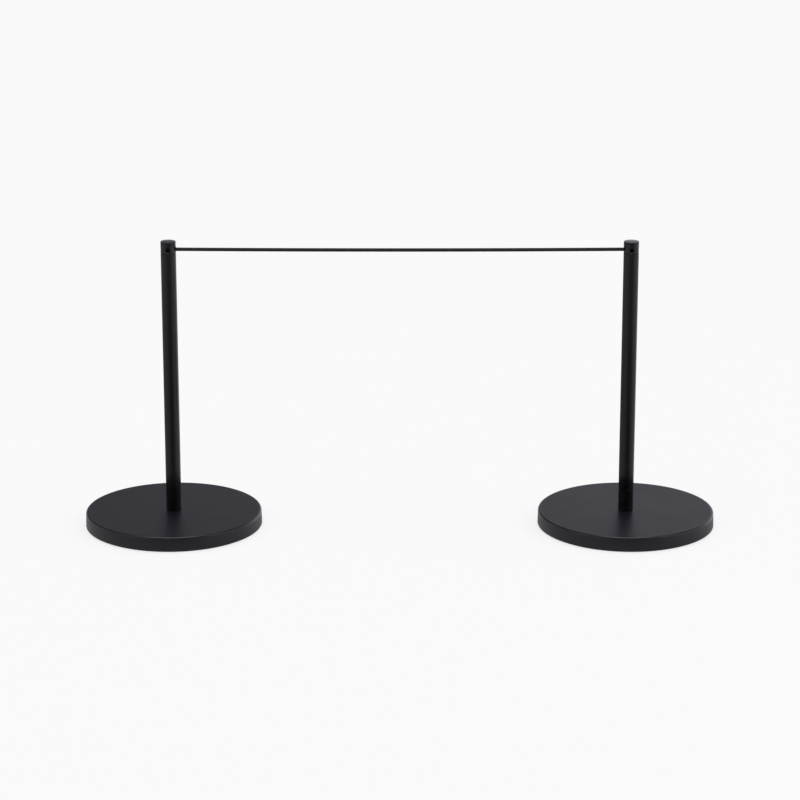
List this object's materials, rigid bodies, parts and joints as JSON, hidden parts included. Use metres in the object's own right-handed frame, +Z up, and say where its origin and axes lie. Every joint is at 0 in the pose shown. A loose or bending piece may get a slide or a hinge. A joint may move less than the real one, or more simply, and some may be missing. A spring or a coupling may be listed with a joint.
{
  "type": "retractable cord barrier",
  "caption": "Low museum barrier: two slim posts on round weighted bases, joined by one taut retractable cord that plugs into a magnetic port in the far post's head.",
  "frame": {"origin": "on the floor, midway between the two posts' axes", "axes": "+X from the post that holds the cord to the post that receives it, +Y away from the front ports, +Z up"},
  "size_m": [0.864, 0.242, 0.4],
  "materials": {
    "powder_black": "fine-texture matt powder coat on steel tube",
    "satin_black": "smooth satin powder coat on spun steel",
    "turned_black": "turned and black anodised, satin",
    "rubber_black": "matt black rubber sheet",
    "cast_iron_grey": "raw casting, machined faces",
    "zinc_steel": "zinc plated or plain machined steel",
    "spring_steel": "bright tempered strip",
    "acetal_black": "machined black acetal",
    "black_braid": "tight black woven braid over a fibre core",
    "blackened_steel": "turned steel, blackened",
    "nickel_plate": "nickel plated magnet"
  },
  "bodies": {
    "left_post": {"left_base_cover": "satin_black", "left_base_weight": "cast_iron_grey", "left_floor_pad": "rubber_black", "left_base_bolt": "zinc_steel", "left_base_washer": "zinc_steel", "left_foot_plug": "zinc_steel", "left_post_tube": "powder_black", "left_tube_screw": "zinc_steel", "left_head": "turned_black", "left_head_cap": "turned_black", "sheave_carrier": "blackened_steel", "head_sheave_pin": "zinc_steel", "cord_anchor": "zinc_steel", "anchor_pin": "zinc_steel", "cord_eyelet": "acetal_black", "cord_head_bend": "black_braid", "cord_run_strand": "black_braid", "cord_dead_strand": "black_braid", "spring_strip": "spring_steel", "bobbin_pin": "zinc_steel", "spring_holder": "zinc_steel", "cord_span": "black_braid"},
    "cord_end": {"cord_plug": "blackened_steel", "plug_magnet": "nickel_plate"},
    "right_post": {"right_base_cover": "satin_black", "right_base_weight": "cast_iron_grey", "right_floor_pad": "rubber_black", "right_base_bolt": "zinc_steel", "right_base_washer": "zinc_steel", "right_foot_plug": "zinc_steel", "right_post_tube": "powder_black", "right_tube_screw": "zinc_steel", "right_head": "turned_black", "right_head_cap": "turned_black", "right_head_core": "blackened_steel"},
    "moving_block": {"moving_block": "zinc_steel", "block_pin": "zinc_steel", "tongue_screw": "zinc_steel", "cord_block_bend": "black_braid"},
    "block_sheave": {"block_sheave": "acetal_black"},
    "head_sheave": {"head_sheave": "acetal_black"},
    "spring_bobbin": {"spring_bobbin": "acetal_black", "spring_coil": "spring_steel"}
  },
  "joints": [
    {"name": "cord_draw", "type": "slide", "parent": "left_post", "child": "cord_end", "axis": [1, 0, 0], "range_m": [-0.6, 0], "deforming": ["cord_span"]},
    {"name": "receiver_shift", "type": "slide", "parent": "left_post", "child": "right_post", "axis": [1, 0, 0], "range_m": [0, 0.03]},
    {"name": "block_travel", "type": "slide", "parent": "left_post", "child": "moving_block", "axis": [0, 0, 1], "range_m": [-0.3005, 0.0005], "deforming": ["spring_strip", "cord_run_strand", "cord_dead_strand"]},
    {"name": "head_sheave_spin", "type": "hinge", "parent": "left_post", "child": "head_sheave", "pos_m": [-0.311, 0, 0.3827], "axis": [0, 1, 0], "range_deg": [-5555, 10]},
    {"name": "block_sheave_spin", "type": "hinge", "parent": "moving_block", "child": "block_sheave", "pos_m": [-0.311, 0, 0.364], "axis": [0, 1, 0], "range_deg": [-2783, 10]},
    {"name": "spring_bobbin_spin", "type": "hinge", "parent": "left_post", "child": "spring_bobbin", "pos_m": [-0.311, 0, 0.041], "axis": [0, 1, 0], "range_deg": [-10, 3069]}
  ],
  "couplings": [
    {"joint": "block_travel", "follows": "cord_draw", "ratio": 0.5},
    {"joint": "head_sheave_spin", "follows": "cord_draw", "rad_per_m": 161.29},
    {"joint": "block_sheave_spin", "follows": "cord_draw", "rad_per_m": 80.645},
    {"joint": "spring_bobbin_spin", "follows": "cord_draw", "rad_per_m": -88.968}
  ]
}
